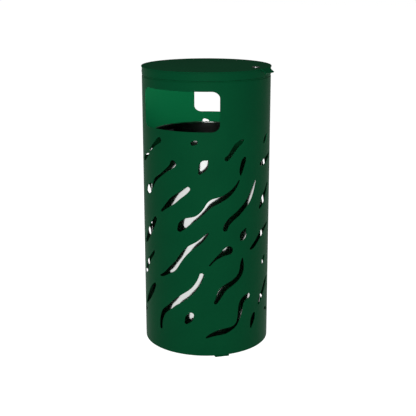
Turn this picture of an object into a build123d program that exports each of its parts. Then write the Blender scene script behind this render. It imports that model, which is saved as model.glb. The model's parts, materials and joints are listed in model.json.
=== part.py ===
"""Round steel litter bin: laser-cut shell with two mouths, hinged lid with a key lock, lift-out liner.

Frame: origin on the ground at the centre of the bin, +Z up, front mouth towards -Y.
Angles round the bin are in degrees from the front mouth's middle, towards +X.
"""

import os
from math import asin, atan2, cos, degrees, hypot, radians, sin, tan

from build123d import *

os.makedirs("parts", exist_ok=True)

# ---- driving dimensions (mm) -------------------------------------------------------------------
body_diameter = 355
sheet = 1.5                   # rolled sheet of the shell and of the lid's skirt
foot_height = 4
shell_height = 758
lid_gap = 4.5                 # open joint between shell and lid
skirt_height = 20.5
lid_thickness = 2.5
lid_diameter = 358

mouth_width = 227             # straight across, seen from the front
mouth_height = 106
mouth_sill = 629              # above the shell's lower edge
mouth_corner = 18

seam_angle = 118.5            # one seam of the two half sheets; the other is half a turn on
rear_pattern_turn = 191       # the rear sheet repeats most of the front's cut-outs, turned this far

foot_width = 40
foot_length = 62
foot_angle = 42.5             # first of three feet
anchor_radius = 132           # ground anchor holes, one in each foot
anchor_hole = 11
drain_radius = 6              # drain holes through the base pan
drain_circle = 70

pan_thickness = 2
pan_flange_height = 26

ring_thickness = 3            # angle ring inside the shell's upper edge
ring_height = 24
ring_flange = 15
ring_top_above_shell = 3.5

buffer_radius = 5
buffer_angle = 30             # first of three buffers
buffer_gap = 0.3

liner_diameter = 311
liner_sheet = 1.0
liner_bottom = 12
liner_top = 607
bead_radius = 2.5
liner_standing_gap = 0.2
seat_play = 0.6               # between the liner and the blocks round its foot

tab_width = 50
tab_reach = 14                # how far the finger tab runs out beyond the lid plate
tab_drop = 11

hinge_width = 60
hinge_pivot_radius = 187
hinge_pivot_height = 766
knuckle_radius = 5
pin_radius = 2.5
pin_clearance = 0.05
leaf_thickness = 2.5

lock_radius = 150             # lock axis from the bin's axis
lock_head_radius = 9.75
lock_body_radius = 9
plug_radius = 6
cam_thickness = 3
cam_reach = 22

handle_angle = 90             # first liner handle; the second is half a turn further on
handle_span = 76
handle_drop = 46
handle_wire = 3               # radius of the wire
handle_pivot_radius = 140
handle_pivot_height = 578

# ---- derived sizes -----------------------------------------------------------------------------
body_radius = body_diameter / 2
inner_radius = body_radius - sheet
shell_bottom = foot_height
shell_top = shell_bottom + shell_height
skirt_bottom = shell_top + lid_gap
lid_underside = skirt_bottom + skirt_height
lid_top = lid_underside + lid_thickness
pan_top = foot_height + pan_thickness
ring_top = shell_top + ring_top_above_shell
ring_underside = ring_top - ring_thickness
ring_inner = inner_radius - ring_flange
liner_radius = liner_diameter / 2
liner_inner = liner_radius - liner_sheet
liner_foot = liner_bottom + liner_standing_gap
bead_height = liner_top - bead_radius
tab_angle = 90                # finger tab and lock side
hinge_angle = -90             # hinge side
leaf_half_turn = 10           # degrees of leaf either side of the hinge's middle
leaf_outer = body_radius + leaf_thickness
shell_rivet_height = ring_top - ring_height - 10
skirt_rivet_height = skirt_bottom + 13
rivet_turns = (-7, 7)         # degrees either side of the hinge's middle


def wall_plane(angle, radius=0.0, height=0.0):
    """Upright plane facing outwards: x runs round the wall, y runs up, z runs out."""
    a = radians(angle)
    return Plane(
        origin=(radius * sin(a), -radius * cos(a), height),
        x_dir=(cos(a), sin(a), 0),
        z_dir=(sin(a), -cos(a), 0),
    )


def side_plane(angle):
    """Upright plane through the bin's axis: x runs outwards at this angle, y runs up."""
    a = radians(angle)
    return Plane(origin=(0, 0, 0), x_dir=(sin(a), -cos(a), 0), z_dir=(-cos(a), -sin(a), 0))


def ring_profile(inner, outer, bottom, top):
    """Rectangle between two radii and two heights, in the open BuildSketch."""
    with Locations(((inner + outer) / 2, (bottom + top) / 2)):
        Rectangle(outer - inner, top - bottom)


def rivet(angle, height, inside, outside, radius=2.4, head_radius=4.5, head=1.6):
    """Radial rivet through a wall from one radius to another, with a flat head at each end."""
    seat = inside - head_radius**2 / (2 * inside)     # a flat head bears on a hollow wall at its rim
    for start, length, size in (
        (seat, outside - seat, radius),
        (seat - head, head, head_radius),
        (outside, head, head_radius),
    ):
        with BuildSketch(wall_plane(angle, start, height)) as disc:
            Circle(size)
        extrude(disc.sketch, amount=length)


def rivet_hole(angle, height, inside, outside, radius=2.4):
    """Hole for a radial rivet, cut a little past both faces of the wall."""
    with BuildSketch(wall_plane(angle, inside - 4, height)) as disc:
        Circle(radius)
    extrude(disc.sketch, amount=outside - inside + 8, mode=Mode.SUBTRACT)


def finish(builder, name):
    """Label a sub-part and write it to its STEP file."""
    builder.part.label = name
    export_step(builder.part, f"parts/{name}.step")


# ---- cut-outs of the shell ---------------------------------------------------------------------
# Each cut-out is a brush stroke: (angle, height above the shell's lower edge, width of the stroke).
cut_outs = {
    "high_drop": [(-31.5, 566, 6), (-25, 582, 10.5), (-21.5, 590.5, 13.5), (-17, 599.5, 16)],
    "high_pip": [(16.5, 599.3, 11.5), (19, 601.8, 11.5)],
    "high_bar": [(46, 557, 13), (50, 569, 12.5), (54, 586, 15), (57.8, 596, 14), (61, 601, 11)],
    "high_seed": [(90, 587, 9), (92.8, 595, 15), (95.2, 603, 9)],
    "left_seed": [(-46.3, 532, 10), (-41.8, 540, 14), (-37, 549, 9), (-34, 553, 5)],
    "long_drop": [
        (-27, 464, 4), (-25.3, 478, 9), (-22, 491, 10), (-17.7, 500.5, 8), (-12.7, 511.5, 8.5),
        (-8.2, 522.5, 10), (-4.2, 532, 14), (-2, 541, 19),
    ],
    "leaf": [(22.4, 520, 8), (24, 528, 18), (25.6, 538, 24), (27.2, 546, 20), (29, 551, 8)],
    "upright_lens": [(59.5, 511, 6), (60, 523, 12.5), (61.2, 536, 14.5), (62.8, 549, 14), (63.5, 553, 10)],
    "right_comma": [(85.2, 529, 12), (91.2, 532, 16), (98.2, 539, 14), (105.2, 546, 7)],
    "left_blade": [
        (-15, 405.5, 6.5), (-7.8, 425.5, 14.5), (-1.8, 441.5, 19.5), (4.2, 456, 16.5),
        (9.8, 469, 14.5), (12, 475.5, 12),
    ],
    "great_wave": [
        (4.4, 362, 14), (6.8, 373, 23), (10.3, 383, 22), (14.8, 389.5, 16.5), (19.3, 396.5, 11),
        (24.3, 409, 10), (27.6, 420.5, 12), (30.8, 432.5, 17), (34.8, 440.5, 19), (39.3, 445.5, 16),
        (45.3, 454.5, 13.5), (50.3, 465.5, 11), (54.3, 478.5, 7.5), (57.7, 495, 4),
    ],
    "right_blade": [
        (45, 364.5, 13.5), (46.5, 376, 14.5), (50.3, 389.5, 15.5), (56.3, 402.5, 15.5),
        (62.3, 418.3, 15), (67.3, 433.5, 15), (70.6, 448, 14), (73, 462, 11.5), (77, 487, 4),
    ],
    "edge_seed": [(-37.8, 446, 10), (-34.3, 455, 24), (-30.8, 466, 18)],
    "edge_blade": [(-44.8, 297, 10), (-39.8, 312, 18), (-35.3, 330, 22), (-26.8, 364, 18), (-24, 377, 14)],
    "far_blade": [(84.3, 407, 10), (87.3, 418, 19), (90.8, 431, 20), (95.3, 447, 16), (99.8, 464, 10)],
    "small_lens": [(60.6, 329, 8), (61.6, 334, 18), (62.6, 341, 22), (63.9, 350, 15.5), (65.2, 357, 6)],
    "tadpole": [(31.3, 264.5, 5), (35.8, 279.5, 6.5), (40.5, 291, 12), (44.6, 298.5, 19), (48, 303.3, 25)],
    "right_vine": [
        (71.8, 297.5, 8), (75.8, 304, 14), (79.8, 314, 15), (84.3, 325, 18), (90.3, 337, 14),
        (96.3, 345, 12), (100.3, 350, 8),
    ],
    "second_wave": [
        (-17, 219, 6), (-12.2, 226, 10), (-7.7, 236.5, 14), (-2.9, 249, 18.5), (0.8, 262, 16),
        (4, 277, 15), (7.8, 293, 15.5), (11.8, 306.5, 15), (15.8, 316, 13), (20.8, 326, 11),
        (25.3, 338.5, 9), (29.5, 354, 4.5),
    ],
    "third_wave": [
        (-17.5, 64, 9), (-17.4, 80, 10), (-15.9, 100, 12), (-12.7, 117.5, 14), (-7.7, 130.5, 14),
        (-1.7, 148, 16), (4.3, 161, 18.5), (10.3, 175.5, 16.5), (15.8, 190, 14.5),
        (19.5, 205, 13), (22.5, 222, 12.5), (23.9, 235, 13),
    ],
    "low_seed": [(10, 96, 11), (11.5, 103, 20), (13.3, 112, 22), (14.6, 118.5, 15)],
    "middle_wave": [
        (36.7, 157, 11), (38.8, 169, 14), (41.3, 184, 18), (44.8, 197, 18), (49.3, 205, 16),
        (54.3, 214, 14.5), (58.3, 225, 14.5), (60.7, 238, 14.5), (61.5, 252, 13.5), (62, 274, 5),
    ],
    "hook": [
        (28.6, 54.5, 6), (33.3, 62, 11.5), (39.3, 67.5, 16), (45.3, 70.5, 17), (50.8, 75.5, 11.5),
        (55.3, 83.5, 8), (57.6, 95, 8), (59.3, 112, 12.5), (60.3, 130, 15.5), (61.5, 146, 15.5),
        (64.6, 157, 15.5), (68.5, 162, 15),
    ],
    "low_lens": [(73.3, 66, 8), (74.3, 77, 15), (75.7, 89, 18), (77, 99.5, 13)],
    "left_wing": [
        (-45.8, 112, 8), (-40.8, 129, 17), (-35.8, 146, 21), (-31.8, 162, 21), (-28, 177, 16),
        (-26, 184, 11),
    ],
    "left_vine": [
        (-46.8, 207, 12), (-41.8, 223, 16), (-38.3, 242, 15), (-33.8, 257, 12), (-29.8, 269, 10.5),
        (-27, 280, 8),
    ],
    "hidden_wing": [(-57, 78, 13), (-52, 86, 12), (-46.3, 93, 6)],
    "right_pip": [(89.8, 240, 7), (92.5, 250, 14), (94.8, 259, 8)],
    "right_wing": [
        (84.3, 126, 8), (87.3, 139, 15), (90.8, 151, 17), (94.8, 166, 18), (98.8, 180, 17),
        (101.3, 188, 8),
    ],
    "low_pip": [(97.8, 98, 6), (100.8, 94.5, 10), (103.8, 91, 6)],
}

# strokes of the rear sheet alone, given in the same way at their own angles
rear_cut_outs = {
    "rear_high_leaf": [(136, 482, 8), (138.4, 500, 15), (140.4, 518, 9)],
    "rear_middle_leaf": [(137.6, 372, 8), (140, 390, 15), (142, 408, 9)],
    "rear_waist_leaf": [(139.6, 262, 8), (141.4, 280, 14), (142.6, 294, 8)],
    "rear_low_leaf": [(134.4, 172, 8), (136.8, 187, 14), (138.4, 200, 8)],
    "rear_side_seed": [(281.2, 195, 8), (283, 206, 13), (284.6, 216, 8)],
    "rear_side_leaf": [(276.8, 284, 8), (278.8, 296, 14), (280.6, 307, 8)],
}


def stroke_edges(stroke):
    """Left and right edge points of a stroke, as (x, y) on the plane that faces its middle."""
    middle = (stroke[0][0] + stroke[-1][0]) / 2
    line = [(body_radius * sin(radians(a - middle)), h, w) for a, h, w in stroke]
    left, right = [], []
    for i, (x, y, width) in enumerate(line):
        before, after = line[max(i - 1, 0)], line[min(i + 1, len(line) - 1)]
        dx, dy = after[0] - before[0], after[1] - before[1]
        step = width / 2 / hypot(dx, dy)
        left.append((x - dy * step, y + dx * step))
        right.append((x + dy * step, y - dx * step))
    start = (line[0], line[1])
    end = (line[-1], line[-2])
    tips = []
    for (x, y, width), (nx, ny, _) in (start, end):
        reach = width / 2 / hypot(x - nx, y - ny)
        tips.append((x + (x - nx) * reach, y + (y - ny) * reach))
    return middle, left, right, tips


def cut_stroke(stroke, turn):
    """Cut one round-ended stroke, turned round the bin, through the sheet of the open BuildPart."""
    middle, left, right, (start_tip, end_tip) = stroke_edges(stroke)
    with BuildSketch(wall_plane(middle + turn, 0, shell_bottom)) as outline:
        with BuildLine():
            Spline(*left)
            ThreePointArc(left[-1], end_tip, right[-1])
            Spline(*reversed(right))
            ThreePointArc(right[0], start_tip, left[0])
        make_face()
    extrude(outline.sketch, amount=body_radius + sheet, mode=Mode.SUBTRACT)


def rivet_row(height):
    """Rivets that hold a hinge leaf to the wall, one on each side of the knuckles."""
    for turn in rivet_turns:
        rivet(hinge_angle + turn, height, inner_radius, leaf_outer)


def rivet_row_holes(height):
    """Holes for one row of hinge rivets."""
    for turn in rivet_turns:
        rivet_hole(hinge_angle + turn, height, inner_radius, leaf_outer)


# ---- shell: two rolled half sheets, one mouth in each ------------------------------------------
def half_shell(first_seam, mouth_side, strokes, pattern_turn):
    """Half a turn of sheet from one seam on, with its mouth (1 front, -1 rear) and its strokes."""
    with BuildSketch(side_plane(first_seam)) as section:
        ring_profile(inner_radius, body_radius, shell_bottom, shell_top)
    revolve(section.sketch, axis=Axis.Z, revolution_arc=180)
    with BuildSketch(Plane.XZ) as mouth:
        with Locations((0, shell_bottom + mouth_sill + mouth_height / 2)):
            RectangleRounded(mouth_width, mouth_height, mouth_corner)
    extrude(mouth.sketch, amount=mouth_side * (body_radius + sheet), mode=Mode.SUBTRACT)
    for stroke in strokes:
        cut_stroke(stroke, pattern_turn)


with BuildPart() as front_shell:
    half_shell(seam_angle - 180, 1, cut_outs.values(), 0)
finish(front_shell, "front_shell")

with BuildPart() as back_shell:
    shared_strokes = [stroke for name, stroke in cut_outs.items() if name != "high_bar"]
    half_shell(seam_angle, -1, shared_strokes, rear_pattern_turn)
    for stroke in rear_cut_outs.values():
        cut_stroke(stroke, 0)
    rivet_row_holes(shell_rivet_height)
finish(back_shell, "back_shell")


# ---- base: feet, pan, rivets and the blocks that locate the liner -------------------------------
foot_outer = body_radius + 1
foot_middle = foot_outer - foot_length / 2
foot_places = PolarLocations(foot_middle, 3, foot_angle - 90)
third_turns = (0, 120, 240)
rivet_places = [
    wall_plane(foot_angle + turn, inner_radius - 12).origin + wall_plane(foot_angle + turn).x_dir * side
    for turn in third_turns
    for side in (-11, 11)
]
foot_rivet_radius = 2.4
foot_rivet_head_radius = 4.5
foot_rivet_bottom = 0.5       # the rivets stop short of the ground

with BuildPart() as feet:
    with BuildSketch():
        with foot_places:
            RectangleRounded(foot_length, foot_width, 1.5)
        with PolarLocations(anchor_radius, 3, foot_angle - 90):
            Circle(anchor_hole / 2, mode=Mode.SUBTRACT)
        with Locations(*rivet_places):
            Circle(foot_rivet_radius, mode=Mode.SUBTRACT)
    extrude(amount=foot_height)
finish(feet, "feet")

with BuildPart() as base_pan:
    with BuildSketch(Plane.XZ):
        with BuildLine():
            Polyline(
                (0, foot_height),
                (inner_radius, foot_height),
                (inner_radius, foot_height + pan_flange_height),
                (inner_radius - pan_thickness, foot_height + pan_flange_height),
                (inner_radius - pan_thickness, pan_top),
                (0, pan_top),
                close=True,
            )
        make_face()
    revolve(axis=Axis.Z)
    outer_corner = base_pan.edges().filter_by(GeomType.CIRCLE).group_by(Axis.Z)[0]
    fillet(outer_corner, pan_thickness * 0.9)
    with BuildSketch(Plane.XY.offset(foot_height)):
        with PolarLocations(anchor_radius, 3, foot_angle - 90):
            Circle(anchor_hole / 2)
        with Locations(*rivet_places):
            Circle(foot_rivet_radius)
        with PolarLocations(drain_circle, 4, 45):
            Circle(drain_radius)
    extrude(amount=pan_thickness, mode=Mode.SUBTRACT)
finish(base_pan, "base_pan")

with BuildPart() as foot_rivets:
    with BuildSketch(Plane.XY.offset(foot_rivet_bottom)):
        with Locations(*rivet_places):
            Circle(foot_rivet_radius)
    extrude(amount=pan_top - foot_rivet_bottom)
    with BuildSketch(Plane.XY.offset(pan_top)):
        with Locations(*rivet_places):
            Circle(foot_rivet_head_radius)
    extrude(amount=2)
    dome_edges = foot_rivets.edges().filter_by(GeomType.CIRCLE).group_by(Axis.Z)[-1]
    fillet(dome_edges, 1.6)
finish(foot_rivets, "foot_rivets")

seat_turn = 16                # degrees of arc taken by each block
seat_inner = liner_radius - 14
seat_outer = liner_radius + 12
shoulder_inner = liner_radius + seat_play
with BuildPart() as liner_seats:
    # each block carries the liner's edge on its step and holds the liner sideways with its shoulder,
    # whose top slopes inwards to guide the liner down
    with BuildSketch(side_plane(foot_angle + 60 - seat_turn / 2)):
        with BuildLine():
            Polyline(
                (seat_inner, pan_top),
                (seat_outer, pan_top),
                (seat_outer, liner_bottom + 16),
                (liner_radius + 5, liner_bottom + 20),
                (shoulder_inner, liner_bottom + 14),
                (shoulder_inner, liner_bottom),
                (seat_inner, liner_bottom),
                close=True,
            )
        make_face()
    block = revolve(axis=Axis.Z, revolution_arc=seat_turn, mode=Mode.PRIVATE)
    for turn in third_turns:
        add(block.rotate(Axis.Z, turn))
finish(liner_seats, "liner_seats")


# ---- angle ring and lid buffers inside the shell's upper edge -----------------------------------
with BuildPart() as top_ring:
    with BuildSketch(Plane.XZ):
        with BuildLine():
            Polyline(
                (ring_inner, ring_underside),
                (inner_radius - ring_thickness, ring_underside),
                (inner_radius - ring_thickness, ring_top - ring_height),
                (inner_radius, ring_top - ring_height),
                (inner_radius, ring_top),
                (ring_inner, ring_top),
                close=True,
            )
        make_face()
    revolve(axis=Axis.Z)
finish(top_ring, "top_ring")

with BuildPart() as lid_buffers:
    with BuildSketch(Plane.XY.offset(ring_top)):
        with PolarLocations(ring_inner + buffer_radius + 1, 3, buffer_angle - 90):
            Circle(buffer_radius)
    extrude(amount=lid_underside - buffer_gap - ring_top)
    fillet(lid_buffers.edges().filter_by(GeomType.CIRCLE).group_by(Axis.Z)[-1], 1.5)
finish(lid_buffers, "lid_buffers")


# ---- hinge: curved leaves outside shell and skirt, three knuckles on one pin --------------------
knuckle_length = hinge_width / 3
knuckle_play = 0.4
nose_length = 10              # stop nose, measured from the pin's axis
nose_width = 5
nose_dip = 13                 # degrees below level; it meets the fixed leaf when the lid is fully open
hinge_plane = side_plane(hinge_angle)
pivot = (hinge_pivot_radius, hinge_pivot_height)


def curved_leaf(bottom, top):
    """Part of a ring that hugs the wall, centred on the hinge's middle."""
    with BuildSketch(side_plane(hinge_angle - leaf_half_turn)) as section:
        ring_profile(body_radius, leaf_outer, bottom, top)
    revolve(section.sketch, axis=Axis.Z, revolution_arc=2 * leaf_half_turn)


def knuckle(start, end, web_height, bore, nose=False):
    """Barrel round the pin from start to end along it, with a web running to the leaf."""
    with BuildSketch(hinge_plane.offset(start)) as section:
        with Locations(pivot):
            Circle(knuckle_radius)
        Polygon(
            (hinge_pivot_radius + knuckle_radius, hinge_pivot_height),
            (hinge_pivot_radius - knuckle_radius, hinge_pivot_height),
            (body_radius - 4, hinge_pivot_height + web_height * 0.4),
            (body_radius - 4, hinge_pivot_height + web_height),
            align=None,
        )
        if nose:
            with Locations(Location((*pivot, 0), (0, 0, -nose_dip))):
                with Locations((nose_length / 2, 0)):
                    Rectangle(nose_length, nose_width)
        with Locations(pivot):
            Circle(bore, mode=Mode.SUBTRACT)
    extrude(section.sketch, amount=end - start)


def clear_wall():
    """Take away whatever lies inside the leaf's seat on the wall."""
    with BuildSketch(Plane.XY.offset(shell_bottom)) as core:
        Circle(body_radius)
    extrude(core.sketch, amount=lid_top, mode=Mode.SUBTRACT)


with BuildPart() as hinge_bracket:
    curved_leaf(shell_top - 42, shell_top - 0.5)
    for start in (-hinge_width / 2, knuckle_length / 2 + knuckle_play / 2):
        knuckle(start, start + knuckle_length - knuckle_play / 2, -24, pin_radius)
    clear_wall()
    rivet_row_holes(shell_rivet_height)
finish(hinge_bracket, "hinge_bracket")

with BuildPart() as hinge_leaf:
    curved_leaf(skirt_bottom + 3, lid_underside - 0.5)
    reach = (knuckle_length - knuckle_play) / 2
    knuckle(-reach, reach, 18, pin_radius + pin_clearance, nose=True)
    clear_wall()
    rivet_row_holes(skirt_rivet_height)
finish(hinge_leaf, "hinge_leaf")

with BuildPart() as bracket_rivets:
    rivet_row(shell_rivet_height)
finish(bracket_rivets, "bracket_rivets")

with BuildPart() as leaf_rivets:
    rivet_row(skirt_rivet_height)
finish(leaf_rivets, "leaf_rivets")

pin_overhang = 3
clip_thickness = 1
clip_wall = 2.2
clip_mouth = 2.6
with BuildPart() as hinge_pin:
    with BuildSketch(hinge_plane.offset(-hinge_width / 2 - pin_overhang)):
        with Locations(pivot):
            Circle(pin_radius)
    extrude(amount=hinge_width + 2 * pin_overhang)
    chamfer(hinge_pin.edges().filter_by(GeomType.CIRCLE), 0.5)
finish(hinge_pin, "hinge_pin")

with BuildPart() as pin_clips:
    for start in (-hinge_width / 2 - clip_thickness, hinge_width / 2):
        with BuildSketch(hinge_plane.offset(start)) as clip:
            with Locations(pivot):
                Circle(pin_radius + clip_wall)
                Circle(pin_radius, mode=Mode.SUBTRACT)
            with Locations((pivot[0], pivot[1] + pin_radius)):
                Rectangle(clip_mouth, 6, mode=Mode.SUBTRACT)
        extrude(clip.sketch, amount=clip_thickness)
finish(pin_clips, "pin_clips")


# ---- lid: plate with its finger tab, and the skirt below it -------------------------------------
tab_plane = side_plane(tab_angle)
plate_radius = lid_diameter / 2
tab_slope = atan2(tab_drop, tab_reach)
tab_skew = lid_thickness * sin(tab_slope)       # thickness of the sloping tab, split into its two parts
tab_rise = lid_thickness * cos(tab_slope)
bend = lid_thickness * tan(tab_slope / 2)       # underside's lead over the top at the fold
with BuildPart() as lid_plate:
    with BuildSketch(Plane.XY.offset(lid_underside)):
        Circle(plate_radius)
    extrude(amount=lid_thickness)
    fillet(lid_plate.edges().filter_by(GeomType.CIRCLE).group_by(Axis.Z)[-1], 1)
    with BuildSketch(tab_plane.offset(-tab_width / 2)) as tab:
        with BuildLine():
            Polyline(
                (plate_radius - 8, lid_top),
                (plate_radius, lid_top),
                (plate_radius + tab_reach, lid_top - tab_drop),
                (plate_radius + tab_reach - tab_skew, lid_top - tab_drop - tab_rise),
                (plate_radius - bend, lid_underside),
                (plate_radius - 8, lid_underside),
                close=True,
            )
        make_face()
    extrude(tab.sketch, amount=tab_width)
    with BuildSketch(Plane.XY.offset(lid_underside)) as lock_hole:
        with Locations((lock_radius, 0)):
            Circle(lock_body_radius)
    extrude(lock_hole.sketch, amount=lid_thickness, mode=Mode.SUBTRACT)
finish(lid_plate, "lid_plate")

with BuildPart() as lid_skirt:
    with BuildSketch(Plane.XZ):
        ring_profile(inner_radius, body_radius, skirt_bottom, lid_underside)
    revolve(axis=Axis.Z)
    rivet_row_holes(skirt_rivet_height)
finish(lid_skirt, "lid_skirt")


# ---- lock: fixed housing through the lid, turning plug with its cam -----------------------------
lock_place = Locations((lock_radius, 0))
gasket_thickness = 0.8
flange_thickness = 1.8
flange_bottom = lid_top + gasket_thickness
lock_face = flange_bottom + flange_thickness
cam_gap = 0.5                 # between the cam and the ring's underside
cam_top = ring_underside - cam_gap
housing_bottom = cam_top + 0.3
nut_flats = 24                # width across the nut's flats
nut_thickness = 5
tang_side = 7                 # square end of the plug, which carries the cam
screw_radius = 2
screw_length = 8
screw_head_radius = 5
screw_head = 2.5
key_slot = (1.4, 7)
key_rib = 2.6                 # square widening in the middle of the key slot
key_depth = 4
cam_width = 11
cam_eye_radius = 8

with BuildPart() as lock_ring:
    with BuildSketch(Plane.XY.offset(lid_top)):
        with lock_place:
            Circle(lock_head_radius + 1.2)
            Circle(lock_body_radius, mode=Mode.SUBTRACT)
    extrude(amount=gasket_thickness)
finish(lock_ring, "lock_ring")

with BuildPart() as lock_housing:
    with BuildSketch(Plane.XY.offset(housing_bottom)):
        with lock_place:
            Circle(lock_body_radius)
    extrude(amount=flange_bottom - housing_bottom)
    with BuildSketch(Plane.XY.offset(flange_bottom)):
        with lock_place:
            Circle(lock_head_radius)
    extrude(amount=flange_thickness)
    fillet(lock_housing.edges().filter_by(GeomType.CIRCLE).group_by(Axis.Z)[-1], 0.8)
    with BuildSketch(Plane.XY.offset(housing_bottom)):
        with lock_place:
            Circle(plug_radius)
    extrude(amount=lock_face - housing_bottom, mode=Mode.SUBTRACT)
finish(lock_housing, "lock_housing")

with BuildPart() as lock_nut:
    with BuildSketch(Plane.XY.offset(lid_underside - nut_thickness)):
        with lock_place:
            RegularPolygon(nut_flats / 2, 6, major_radius=False)
            Circle(lock_body_radius, mode=Mode.SUBTRACT)
    extrude(amount=nut_thickness)
finish(lock_nut, "lock_nut")

with BuildPart() as lock_plug:
    with BuildSketch(Plane.XY.offset(cam_top)):
        with lock_place:
            Circle(plug_radius - pin_clearance)
    extrude(amount=lock_face - cam_top)
    fillet(lock_plug.edges().filter_by(GeomType.CIRCLE).group_by(Axis.Z)[-1], 0.4)
    with BuildSketch(Plane.XY.offset(cam_top - cam_thickness)):
        with lock_place:
            Rectangle(tang_side, tang_side)
    extrude(amount=cam_thickness)
    with BuildSketch(Plane.XY.offset(lock_face - key_depth)):
        with lock_place:
            Rectangle(*key_slot)
            Rectangle(key_rib, key_rib)
    extrude(amount=key_depth, mode=Mode.SUBTRACT)
    with BuildSketch(Plane.XY.offset(cam_top - cam_thickness)):
        with lock_place:
            Circle(screw_radius)
    extrude(amount=screw_length, mode=Mode.SUBTRACT)
finish(lock_plug, "lock_plug")

with BuildPart() as lock_cam:
    # drawn as it stands when unlocked: along the ring's edge, clear of its flange
    with BuildSketch(Plane.XY.offset(cam_top - cam_thickness)):
        with lock_place:
            Circle(cam_eye_radius)
        with Locations((lock_radius, -cam_reach / 2 - 2)):
            Rectangle(cam_width, cam_reach - 4)
        with lock_place:
            Rectangle(tang_side, tang_side, mode=Mode.SUBTRACT)
    extrude(amount=cam_thickness)
    fillet(lock_cam.edges().filter_by(Axis.Z).group_by(Axis.Y)[0], 4)
finish(lock_cam, "lock_cam")

with BuildPart() as cam_screw:
    with BuildSketch(Plane.XY.offset(cam_top - cam_thickness - screw_head)):
        with lock_place:
            Circle(screw_head_radius)
    extrude(amount=screw_head)
    fillet(cam_screw.edges().filter_by(GeomType.CIRCLE).group_by(Axis.Z)[0], 1)
    with BuildSketch(Plane.XY.offset(cam_top - cam_thickness)):
        with lock_place:
            Circle(screw_radius)
    extrude(amount=screw_length)
finish(cam_screw, "cam_screw")


# ---- liner: straight wall, flanged floor, rolled rim ---------------------------------------------
floor_thickness = 1.2
floor_height = liner_foot + 3
floor_flange_top = liner_foot + 12
leg = handle_span / 2         # from the middle of the handle to its legs
lug_start = leg + 7
lug_thickness = 3
wire_end = lug_start + lug_thickness + 3
foot_sheet = 1.5              # sheet of the lugs' feet
lug_height = 14
lug_depth = 14
lug_foot_height = 24
handle_turns = (0, 180)
lug_foot_turn = degrees(asin(lug_start / liner_inner))   # where a lug's foot begins on the wall
lug_foot_arc = 6
lug_rivet_radius = 2
lug_rivet_head_radius = 3.6
lug_rivet_head = 1.2
lug_rivet_turn = lug_foot_turn + 3.8                     # rivets from the handle's middle, in degrees
lug_rivet_rise = 7                                       # rivets above and below the pivot
lug_rivet_places = [
    (handle_angle + turn + side * lug_rivet_turn, handle_pivot_height + rise)
    for turn in handle_turns
    for side in (-1, 1)
    for rise in (-lug_rivet_rise, lug_rivet_rise)
]

with BuildPart() as liner_wall:
    with BuildSketch(Plane.XZ):
        ring_profile(liner_inner, liner_radius, liner_foot, bead_height)
    revolve(axis=Axis.Z)
    for angle, height in lug_rivet_places:
        rivet_hole(angle, height, liner_inner, liner_radius, lug_rivet_radius)
finish(liner_wall, "liner_wall")

with BuildPart() as liner_floor:
    with BuildSketch(Plane.XZ):
        with BuildLine():
            Polyline(
                (0, floor_height),
                (liner_inner, floor_height),
                (liner_inner, floor_flange_top),
                (liner_inner - floor_thickness, floor_flange_top),
                (liner_inner - floor_thickness, floor_height + floor_thickness),
                (0, floor_height + floor_thickness),
                close=True,
            )
        make_face()
    revolve(axis=Axis.Z)
finish(liner_floor, "liner_floor")

with BuildPart() as liner_rim:
    with BuildSketch(Plane.XZ):
        with Locations((liner_radius - liner_sheet / 2, bead_height)):
            Circle(bead_radius)
        with Locations((liner_radius - liner_sheet / 2, bead_height - bead_radius)):
            Rectangle(liner_sheet, 2 * bead_radius, mode=Mode.SUBTRACT)
    revolve(axis=Axis.Z)
finish(liner_rim, "liner_rim")


# ---- liner handles: bent wire in riveted lugs ---------------------------------------------------
def handle_plane(turn):
    """Plane through the handle's pivot line: x along the pivot, y up, z towards the wall."""
    return wall_plane(handle_angle + turn, handle_pivot_radius, handle_pivot_height)


def handle_wire_part(turn):
    """Sweep the wire of one handle, hanging down."""
    plane = handle_plane(turn)
    corners = [
        (-wire_end, 0),
        (-leg, 0),
        (-leg, -handle_drop),
        (leg, -handle_drop),
        (leg, 0),
        (wire_end, 0),
    ]
    with BuildLine(plane) as path:
        FilletPolyline(*corners, radius=2 * handle_wire)
    start = path.line @ 0
    with BuildSketch(Plane(origin=start, z_dir=path.line % 0)) as section:
        Circle(handle_wire)
    sweep(section.sketch, path=path.line)


with BuildPart() as left_handle:
    handle_wire_part(handle_turns[1])
finish(left_handle, "left_handle")

with BuildPart() as right_handle:
    handle_wire_part(handle_turns[0])
finish(right_handle, "right_handle")

with BuildPart() as handle_lugs:
    for turn in handle_turns:
        for side in (-1, 1):
            plane = handle_plane(turn)
            ear_plane = Plane(
                origin=plane.from_local_coords((side * lug_start, 0, 0)),
                x_dir=plane.z_dir,
                z_dir=plane.x_dir * side,
            )
            with BuildSketch(ear_plane) as ear:
                with Locations((2, 0)):
                    Rectangle(lug_depth, lug_height)
                Circle(handle_wire + pin_clearance, mode=Mode.SUBTRACT)
            extrude(ear.sketch, amount=lug_thickness)
            with BuildSketch(side_plane(handle_angle + turn + side * lug_foot_turn)) as foot:
                ring_profile(
                    liner_inner - foot_sheet,
                    liner_inner,
                    handle_pivot_height - lug_foot_height / 2,
                    handle_pivot_height + lug_foot_height / 2,
                )
            revolve(foot.sketch, axis=Axis.Z, revolution_arc=side * lug_foot_arc)
    for angle, height in lug_rivet_places:
        rivet_hole(angle, height, liner_inner - foot_sheet, liner_inner, lug_rivet_radius)
    with BuildSketch(Plane.XZ) as beyond_wall:
        ring_profile(liner_inner, liner_inner + 20, liner_foot, liner_top)
    revolve(beyond_wall.sketch, axis=Axis.Z, mode=Mode.SUBTRACT)
finish(handle_lugs, "handle_lugs")

with BuildPart() as lug_rivets:
    for angle, height in lug_rivet_places:
        rivet(
            angle,
            height,
            liner_inner - foot_sheet,
            liner_radius,
            lug_rivet_radius,
            lug_rivet_head_radius,
            lug_rivet_head,
        )
finish(lug_rivets, "lug_rivets")
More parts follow.
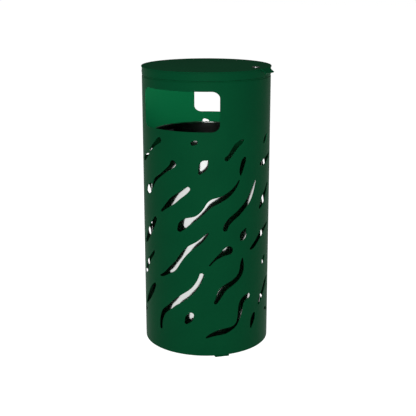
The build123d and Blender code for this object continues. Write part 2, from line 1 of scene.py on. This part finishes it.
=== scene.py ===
"""Round steel litter bin: dressing, small made pieces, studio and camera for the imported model."""

import json
import logging
import math
from dataclasses import dataclass, field, replace
from enum import Enum

import bpy
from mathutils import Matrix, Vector

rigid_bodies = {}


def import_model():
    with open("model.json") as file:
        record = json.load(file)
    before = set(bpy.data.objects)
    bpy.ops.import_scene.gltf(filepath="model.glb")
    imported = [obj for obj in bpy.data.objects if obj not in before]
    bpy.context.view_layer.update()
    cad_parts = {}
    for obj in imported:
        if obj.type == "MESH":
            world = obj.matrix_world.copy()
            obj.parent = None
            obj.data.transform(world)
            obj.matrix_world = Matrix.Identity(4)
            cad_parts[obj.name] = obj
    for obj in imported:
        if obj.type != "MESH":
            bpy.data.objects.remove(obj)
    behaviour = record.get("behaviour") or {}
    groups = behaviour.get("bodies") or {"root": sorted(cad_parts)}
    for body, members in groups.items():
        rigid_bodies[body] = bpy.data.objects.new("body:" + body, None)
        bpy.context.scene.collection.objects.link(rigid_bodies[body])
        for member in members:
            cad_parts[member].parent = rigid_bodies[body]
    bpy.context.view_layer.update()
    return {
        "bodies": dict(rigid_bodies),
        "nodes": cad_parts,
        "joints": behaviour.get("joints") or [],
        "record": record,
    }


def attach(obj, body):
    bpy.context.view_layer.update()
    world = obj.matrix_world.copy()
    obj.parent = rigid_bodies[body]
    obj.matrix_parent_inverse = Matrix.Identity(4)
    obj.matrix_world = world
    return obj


log = logging.getLogger("litter_bin")
MM = 0.001
NOISE_SPAN = (0.3, 0.7)     # where nearly all of a noise's values lie
PATCH_DETAIL = 3.0          # octaves in the cloudy patches and in the grain
GRAIN_DETAIL = 2.0
LEAST_ROUGHNESS = 0.02
BUMP_STRENGTH = 0.5


# ---- colour and node helpers --------------------------------------------------------------------
def to_linear(code: str) -> tuple[float, float, float, float]:
    """Turn an sRGB hex colour into a linear one.

    Args:
        code: six hex digits, such as "0e4a2b".

    Returns:
        Red, green, blue and an alpha of 1.
    """
    channels = [int(code[i : i + 2], 16) / 255 for i in (0, 2, 4)]
    linear = [c / 12.92 if c <= 0.04045 else ((c + 0.055) / 1.055) ** 2.4 for c in channels]
    return (linear[0], linear[1], linear[2], 1.0)


def add_node(
    tree: bpy.types.NodeTree, kind: str, values: dict[str | int, object] | None = None, **settings: object
) -> bpy.types.Node:
    """Add a node with its settings, socket values and links.

    Args:
        tree: the node tree that gets the node.
        kind: the node's type name.
        values: input name or number to a plain value, or to an output socket to link from.
        settings: attributes of the node itself.

    Returns:
        The new node.
    """
    node = tree.nodes.new(kind)
    for name, value in settings.items():
        setattr(node, name, value)
    for key, value in (values or {}).items():
        if isinstance(value, bpy.types.NodeSocket):
            tree.links.new(value, node.inputs[key])
        else:
            node.inputs[key].default_value = value
    return node


# ---- finishes -----------------------------------------------------------------------------------
@dataclass(frozen=True)
class Finish:
    """A procedural surface: two close tones mixed by noise, a grain that moves the gloss, a fine bump."""

    name: str
    light: str
    dark: str
    metallic: float
    roughness: float
    gloss_swing: float
    patch_mm: float
    grain_mm: float
    bump_mm: float
    specular: float = 0.5
    stretch: tuple[float, float, float] = (1.0, 1.0, 1.0)
    painted_light_inner_colour: str = ""                    # painted light: a lighter colour painted on faces nearer the bin's axis than the radius on the next line, standing in for the light on the inner wall
    painted_light_radius_mm: float = 0.0

    def make(self) -> bpy.types.Material:
        """Build the material's nodes.

        Returns:
            The new material.
        """
        material = bpy.data.materials.new(self.name)
        material.use_nodes = True
        tree = material.node_tree
        tree.nodes.clear()
        place = add_node(tree, "ShaderNodeTexCoord").outputs["Object"]
        drawn_out = add_node(tree, "ShaderNodeMapping", {"Vector": place, "Scale": self.stretch}).outputs[0]
        patches, grain = [
            add_node(
                tree,
                "ShaderNodeTexNoise",
                {"Vector": drawn_out, "Scale": 1 / (size_mm * MM), "Detail": detail},
            ).outputs[0]
            for size_mm, detail in ((self.patch_mm, PATCH_DETAIL), (self.grain_mm, GRAIN_DETAIL))
        ]
        # a Mix node's colour sockets share their names with the float ones, so they are set by number
        tone = add_node(
            tree,
            "ShaderNodeMix",
            {"Factor": patches, 6: to_linear(self.dark), 7: to_linear(self.light)},
            data_type="RGBA",
        )
        gloss = add_node(
            tree,
            "ShaderNodeMapRange",
            {
                "Value": grain,
                "From Min": NOISE_SPAN[0],
                "From Max": NOISE_SPAN[1],
                "To Min": max(self.roughness - self.gloss_swing, LEAST_ROUGHNESS),
                "To Max": self.roughness + self.gloss_swing,
            },
        )
        bump = add_node(
            tree,
            "ShaderNodeBump",
            {"Height": grain, "Strength": BUMP_STRENGTH, "Distance": self.bump_mm * MM},
        )
        colour = tone.outputs[2]
        # painted light: the inner faces get a lighter green standing in for the light on the inner wall
        if self.painted_light_inner_colour:
            colour = self.paint_inner_light(tree, place, colour)
        shader = add_node(
            tree,
            "ShaderNodeBsdfPrincipled",
            {
                "Base Color": colour,
                "Metallic": self.metallic,
                "Roughness": gloss.outputs[0],
                "Specular IOR Level": self.specular,
                "Normal": bump.outputs[0],
            },
        )
        add_node(tree, "ShaderNodeOutputMaterial", {"Surface": shader.outputs[0]})
        return material

    def paint_inner_light(
        self, tree: bpy.types.NodeTree, place: bpy.types.NodeSocket, outer: bpy.types.NodeSocket
    ) -> bpy.types.NodeSocket:
        """Paint a lighter colour on the inner face of a sheet: painted light standing in for the light that
        falls on the inner wall.

        Args:
            tree: the material's tree.
            place: the coordinates to read.
            outer: the colour of the outer face.

        Returns:
            The colour of both faces.
        """
        level = add_node(
            tree, "ShaderNodeVectorMath", {0: place, 1: (1.0, 1.0, 0.0)}, operation="MULTIPLY"
        )
        radius = add_node(tree, "ShaderNodeVectorMath", {0: level.outputs[0]}, operation="LENGTH")
        # mask of the painted light: faces nearer the bin's axis than the given radius
        painted_light_mask = add_node(
            tree,
            "ShaderNodeMath",
            {0: radius.outputs["Value"], 1: self.painted_light_radius_mm * MM},
            operation="LESS_THAN",
        )
        mix = add_node(
            tree,
            "ShaderNodeMix",
            {"Factor": painted_light_mask.outputs[0], 6: outer, 7: to_linear(self.painted_light_inner_colour)},
            data_type="RGBA",
        )
        return mix.outputs[2]


# polyester powder coat on steel: deep green with a faint orange peel about 2 mm across; its specular level
# is set far below a real coat's, so that the pale room leaves no sheen on it and it looks almost matt
GREEN_COAT = Finish(
    name="satin green powder coat",
    light="074d2d",
    dark="054529",
    metallic=0.0,
    roughness=0.48,
    gloss_swing=0.05,
    patch_mm=90,
    grain_mm=2.2,
    bump_mm=0.03,
    specular=0.016,
)


class Surface(Enum):
    """The finishes of the bin."""

    POWDER_COAT = GREEN_COAT
    # the same coat on the shell and its ring, with a brighter green painted on the faces inside the sheet:
    # painted light standing in for the light that reaches the inner wall through the mouths
    SHELL_COAT = replace(
        GREEN_COAT,
        name="satin green powder coat on the shell",
        painted_light_inner_colour="07512f",
        painted_light_radius_mm=176.7,
    )
    # black electrocoat on the liner's handles: even, satin, almost black
    ELECTROCOAT = Finish(
        name="black electrocoat",
        light="18191b",
        dark="111214",
        metallic=0.0,
        roughness=0.4,
        gloss_swing=0.06,
        patch_mm=20,
        grain_mm=1.5,
        bump_mm=0.01,
        specular=0.3,
    )
    # bright rolled stainless sheet: mirror-like, a little grey, with faint lines round the drum from
    # rolling, drawn coarser than real ones so that they show
    BRIGHT_SHEET = Finish(
        name="bright annealed stainless sheet",
        light="c2c4c2",
        dark="b8bab9",
        metallic=1.0,
        roughness=0.15,
        gloss_swing=0.03,
        patch_mm=60,
        grain_mm=7.0,
        bump_mm=0.004,
        stretch=(1.0, 1.0, 6.0),
    )
    # zinc plate: pale grey metal, cloudy, half dull
    ZINC_PLATE = Finish(
        name="bright zinc plate",
        light="b9bcbe",
        dark="a3a7aa",
        metallic=1.0,
        roughness=0.34,
        gloss_swing=0.08,
        patch_mm=14,
        grain_mm=2.5,
        bump_mm=0.01,
    )
    # chrome plate on the lock's turned head: white metal, sharp reflections
    CHROME_PLATE = Finish(
        name="chrome plate on turned brass",
        light="f0f1f2",
        dark="e2e4e6",
        metallic=1.0,
        roughness=0.1,
        gloss_swing=0.04,
        patch_mm=8,
        grain_mm=1.2,
        bump_mm=0.002,
    )
    # moulded rubber: near black, dull, with a fine moulded grain
    RUBBER = Finish(
        name="moulded black rubber",
        light="1b1b1c",
        dark="121213",
        metallic=0.0,
        roughness=0.72,
        gloss_swing=0.08,
        patch_mm=12,
        grain_mm=1.0,
        bump_mm=0.05,
    )


@dataclass
class FinishStore:
    """Makes each finish once and puts it on CAD nodes and new pieces."""

    made: dict[Surface, bpy.types.Material] = field(default_factory=dict)

    def material(self, surface: Surface) -> bpy.types.Material:
        """Give the material of a surface, made on first use.

        Args:
            surface: the finish.

        Returns:
            Its material.
        """
        if surface not in self.made:
            self.made[surface] = surface.value.make()
        return self.made[surface]

    def dress(self, target: bpy.types.Object, surface: Surface) -> None:
        """Put a surface in every material slot of an object.

        Args:
            target: the object to dress.
            surface: the finish it gets.
        """
        if not target.data.materials:
            target.data.materials.append(self.material(surface))
        for slot in target.material_slots:
            slot.material = self.material(surface)
        log.info("dressed %s in %s", target.name, surface.value.name)


@dataclass
class SubAssembly:
    """A group of CAD nodes and made pieces that share a body."""

    frame: dict
    finishes: FinishStore

    def dress_nodes(self, surface: Surface, *names: str) -> None:
        """Dress CAD nodes in one surface.

        Args:
            surface: the finish.
            names: the nodes.
        """
        for name in names:
            self.finishes.dress(self.frame["nodes"][name], surface)


@dataclass
class Shell(SubAssembly):
    """Two rolled half sheets with their angle ring, and the weld beads that join the sheets."""

    seam_turns: tuple[float, float] = (118.5, 298.5)    # degrees round the bin from the front mouth
    seam_radius: float = 177.0 * MM
    seam_bottom: float = 8 * MM
    seam_top: float = 758 * MM
    ripple_pitch: float = 3.6 * MM
    ripple_half_width: float = 2.4 * MM
    ripple_half_height: float = 1.1 * MM
    ripple_overlap: float = 0.8         # half a ripple's length, in pitches
    root_depth: float = 0.2 * MM        # what is kept of a ripple on its inner side

    def weld_bead(self, turn: float) -> bpy.types.Object:
        """Model one rippled weld bead that runs up a seam.

        Args:
            turn: the seam's place, in degrees round the bin.

        Returns:
            The bead.
        """
        bpy.ops.object.select_all(action="DESELECT")
        bpy.ops.mesh.primitive_uv_sphere_add(segments=8, ring_count=6, radius=1.0)
        bead = bpy.context.object
        bead.name = f"seam_weld_{turn:.0f}"
        half_length = self.ripple_pitch * self.ripple_overlap
        bead.scale = (self.ripple_half_width, self.ripple_half_height, half_length)
        bpy.ops.object.transform_apply(location=False, rotation=False, scale=True)
        bpy.ops.object.mode_set(mode="EDIT")
        bpy.ops.mesh.select_all(action="SELECT")
        bpy.ops.mesh.bisect(
            plane_co=(0, self.root_depth, 0), plane_no=(0, 1, 0), clear_outer=True, use_fill=True
        )
        bpy.ops.object.mode_set(mode="OBJECT")
        ripples = bead.modifiers.new("ripples", "ARRAY")
        ripples.use_relative_offset = False
        ripples.use_constant_offset = True
        ripples.constant_offset_displace = (0, 0, self.ripple_pitch)
        ripples.count = int((self.seam_top - self.seam_bottom) / self.ripple_pitch)
        bpy.ops.object.modifier_apply(modifier=ripples.name)
        angle = math.radians(turn)
        bead.rotation_euler = (0, 0, angle)
        bead.location = (
            self.seam_radius * math.sin(angle),
            -self.seam_radius * math.cos(angle),
            self.seam_bottom + self.ripple_pitch,
        )
        bpy.ops.object.transform_apply(location=True, rotation=True, scale=True)
        bpy.ops.object.shade_smooth()
        return bead

    def build(self) -> None:
        """Weld the seams and dress the shell."""
        for turn in self.seam_turns:
            bead = self.weld_bead(turn)
            self.finishes.dress(bead, Surface.SHELL_COAT)
            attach(bead, "housing")
            log.info("made %s", bead.name)
        self.dress_nodes(Surface.SHELL_COAT, "front_shell", "back_shell", "top_ring")


@dataclass
class Base(SubAssembly):
    """Pan, feet and the blocks that locate the liner."""

    def build(self) -> None:
        """Dress the base."""
        self.dress_nodes(Surface.POWDER_COAT, "base_pan", "feet")
        self.dress_nodes(Surface.ZINC_PLATE, "foot_rivets")
        self.dress_nodes(Surface.RUBBER, "liner_seats")


@dataclass
class Lid(SubAssembly):
    """Lid plate, skirt and the rubber buffers it rests on."""

    def build(self) -> None:
        """Dress the lid."""
        self.dress_nodes(Surface.POWDER_COAT, "lid_plate", "lid_skirt")
        self.dress_nodes(Surface.RUBBER, "lid_buffers")


@dataclass
class Hinge(SubAssembly):
    """Bracket, leaf, pin, clips and rivets."""

    def build(self) -> None:
        """Dress the hinge."""
        self.dress_nodes(Surface.POWDER_COAT, "hinge_bracket", "hinge_leaf", "bracket_rivets", "leaf_rivets")
        self.dress_nodes(Surface.ZINC_PLATE, "hinge_pin", "pin_clips")


@dataclass
class Lock(SubAssembly):
    """Cam lock: housing, plug, cam, nut, screw and gasket."""

    def build(self) -> None:
        """Dress the lock."""
        self.dress_nodes(Surface.CHROME_PLATE, "lock_housing", "lock_plug")
        self.dress_nodes(Surface.ZINC_PLATE, "lock_cam", "cam_screw", "lock_nut")
        self.dress_nodes(Surface.RUBBER, "lock_ring")


@dataclass
class Liner(SubAssembly):
    """Lift-out drum with its rim, handles, lugs and rivets."""

    def build(self) -> None:
        """Dress the liner."""
        self.dress_nodes(Surface.BRIGHT_SHEET, "liner_wall", "liner_floor", "liner_rim")
        self.dress_nodes(Surface.ELECTROCOAT, "handle_lugs", "lug_rivets", "left_handle", "right_handle")


@dataclass
class Studio:
    """Pale floor, soft lights, white surround and the camera. Lengths are in metres, powers in watts."""

    camera_turn: float = 28.25          # degrees round the bin from the front mouth
    camera_distance: float = 2.542      # from the bin's axis, level
    camera_height: float = 1.0633
    camera_dip: float = 15.0            # degrees below level
    camera_swing: float = 0.103         # degrees to the right of the bin's axis
    lens_mm: float = 79.58
    sensor_mm: float = 36.0
    middle: tuple[float, float, float] = (0.0, 0.0, 0.4)    # what the soft lamps are aimed at
    floor_size: float = 40.0
    floor_glow: float = 0.95            # what the camera and the metal see of the floor
    floor_fill: float = 0.3             # what the floor gives the paint
    room_fill: float = 0.08             # what the room gives the bin, of a full white
    inner_lamp_size: tuple[float, float] = (0.16, 0.02)
    inner_lamp_place: tuple[float, float, float] = (0.0, -0.13, 0.75)
    inner_lamp_aim: tuple[float, float, float] = (-0.1, 1.0, -0.25)
    inner_lamp_power: float = 1.15

    def build(self) -> None:
        """Make the whole studio."""
        self.floor()
        self.surround()
        self.lamp("key softbox", self.camera_turn - 4, rise=17, distance=3.2, size=1.2, power=36)
        self.lamp("top softbox", self.camera_turn - 10, rise=72, distance=2.6, size=2.0, power=19)
        self.head_space_lamp()
        self.camera()

    def place(self, turn: float, rise: float, distance: float) -> Vector:
        """Point round the bin's middle.

        Args:
            turn: degrees round from the front mouth.
            rise: degrees above level.
            distance: metres from the bin's middle.

        Returns:
            The point.
        """
        a = math.radians(turn)
        e = math.radians(rise)
        outwards = Vector((math.sin(a) * math.cos(e), -math.cos(a) * math.cos(e), math.sin(e)))
        return Vector(self.middle) + distance * outwards

    def floor(self) -> None:
        """Plain pale floor, level with the feet."""
        bpy.ops.object.select_all(action="DESELECT")
        bpy.ops.mesh.primitive_plane_add(size=self.floor_size, location=(0, 0, 0))
        floor = bpy.context.object
        floor.name = "studio floor"
        material = bpy.data.materials.new("pale studio floor")
        material.use_nodes = True
        shader = material.node_tree.nodes["Principled BSDF"]
        shader.inputs["Base Color"].default_value = to_linear("f4f4f4")
        shader.inputs["Roughness"].default_value = 0.9
        shader.inputs["Specular IOR Level"].default_value = 0.0
        shader.inputs["Emission Color"].default_value = (1, 1, 1, 1)
        path = add_node(material.node_tree, "ShaderNodeLightPath")
        glow = add_node(
            material.node_tree,
            "ShaderNodeMapRange",
            {"Value": path.outputs["Is Diffuse Ray"], "To Min": self.floor_glow, "To Max": self.floor_fill},
        )
        material.node_tree.links.new(glow.outputs[0], shader.inputs["Emission Strength"])
        floor.data.materials.append(material)

    def surround(self) -> None:
        """White all round as a backdrop, and much weaker as light and in reflections."""
        world = bpy.data.worlds.new("white surround")
        bpy.context.scene.world = world
        world.use_nodes = True
        tree = world.node_tree
        tree.nodes.clear()
        path = add_node(tree, "ShaderNodeLightPath")
        strength = add_node(
            tree,
            "ShaderNodeMapRange",
            {"Value": path.outputs["Is Camera Ray"], "To Min": self.room_fill, "To Max": 1.0},
        )
        light = add_node(
            tree, "ShaderNodeBackground", {"Color": (1, 1, 1, 1), "Strength": strength.outputs[0]}
        )
        add_node(tree, "ShaderNodeOutputWorld", {"Surface": light.outputs[0]})

    def lamp(self, name: str, turn: float, rise: float, distance: float, size: float, power: float) -> None:
        """Square soft lamp aimed at the bin's middle.

        Args:
            name: the lamp's name.
            turn: degrees round from the front mouth.
            rise: degrees above level.
            distance: metres from the bin's middle.
            size: side in metres.
            power: watts.
        """
        data = bpy.data.lights.new(name, "AREA")
        data.size = size
        data.energy = power
        lamp = bpy.data.objects.new(name, data)
        bpy.context.collection.objects.link(lamp)
        lamp.location = self.place(turn, rise, distance)
        lamp.rotation_euler = (Vector(self.middle) - lamp.location).to_track_quat("-Z", "Y").to_euler()

    def head_space_lamp(self) -> None:
        """Small lamp tucked under the lid behind the front mouth, which lifts the far inner wall."""
        data = bpy.data.lights.new("head space lamp", "AREA")
        data.shape = "RECTANGLE"
        data.size, data.size_y = self.inner_lamp_size
        data.energy = self.inner_lamp_power
        lamp = bpy.data.objects.new("head space lamp", data)
        bpy.context.collection.objects.link(lamp)
        lamp.location = self.inner_lamp_place
        lamp.rotation_euler = Vector(self.inner_lamp_aim).to_track_quat("-Z", "Y").to_euler()
        lamp.visible_camera = False
        lamp.visible_glossy = False

    def camera(self) -> None:
        """Camera at the chosen viewing angle."""
        data = bpy.data.cameras.new("camera")
        data.lens = self.lens_mm
        data.sensor_width = self.sensor_mm
        camera = bpy.data.objects.new("camera", data)
        bpy.context.collection.objects.link(camera)
        turn = math.radians(self.camera_turn)
        camera.location = (
            self.camera_distance * math.sin(turn),
            -self.camera_distance * math.cos(turn),
            self.camera_height,
        )
        heading = self.camera_turn - self.camera_swing
        camera.rotation_euler = (math.radians(90 - self.camera_dip), 0, math.radians(heading))
        bpy.context.scene.camera = camera


def main() -> None:
    """Load the model, build and dress every sub-assembly, then set the studio."""
    logging.basicConfig(level=logging.INFO)
    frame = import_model()
    finishes = FinishStore()
    for part in (Shell, Base, Lid, Hinge, Lock, Liner):
        part(frame, finishes).build()
        log.info("built %s", part.__name__)
    Studio().build()
    bpy.context.scene.view_settings.view_transform = "Standard"


if __name__ == "__main__":
    main()
